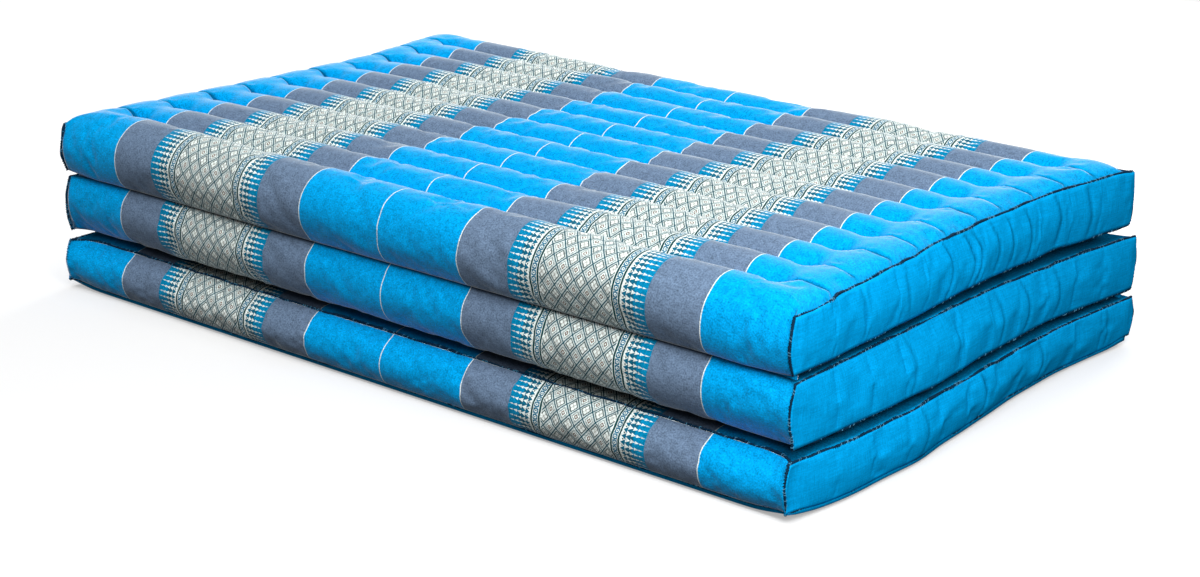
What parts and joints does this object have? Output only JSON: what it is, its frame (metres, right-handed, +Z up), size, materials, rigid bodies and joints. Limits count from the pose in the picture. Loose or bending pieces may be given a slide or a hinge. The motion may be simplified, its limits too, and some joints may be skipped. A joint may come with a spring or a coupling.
{
  "type": "folding floor mattress",
  "caption": "Stuffed floor mattress with sewn channels and a patterned cover, folded back and forth on itself into a low stack, with plain panels sewn over its ends.",
  "frame": {"origin": "middle of the outline of the folded mattress, on the surface it rests on", "axes": "+X along the sewn channels, +Y from the front hinge's side to the back hinge's side, +Z up"},
  "size_m": [1.1182, 0.7152, 0.2277],
  "materials": {
    "face_cloth": "brushed cotton, woven in bright blue and grey bands with a cream and teal lattice border between thin cream lines",
    "end_cloth": "plain blue brushed cotton with dark overlocked edges",
    "wall_cloth": "the face cloth's bands on a sewn-on wall panel with dark overlocked edges"
  },
  "bodies": {
    "root": {"stuffed_body": "face_cloth", "end_panel_right_lower": "end_cloth", "end_panel_left_lower": "end_cloth", "end_panel_right_middle": "end_cloth", "end_panel_left_middle": "end_cloth", "end_panel_right_upper": "end_cloth", "end_panel_left_upper": "end_cloth", "front_panel_lower": "wall_cloth", "back_panel_upper": "wall_cloth"}
  },
  "joints": []
}
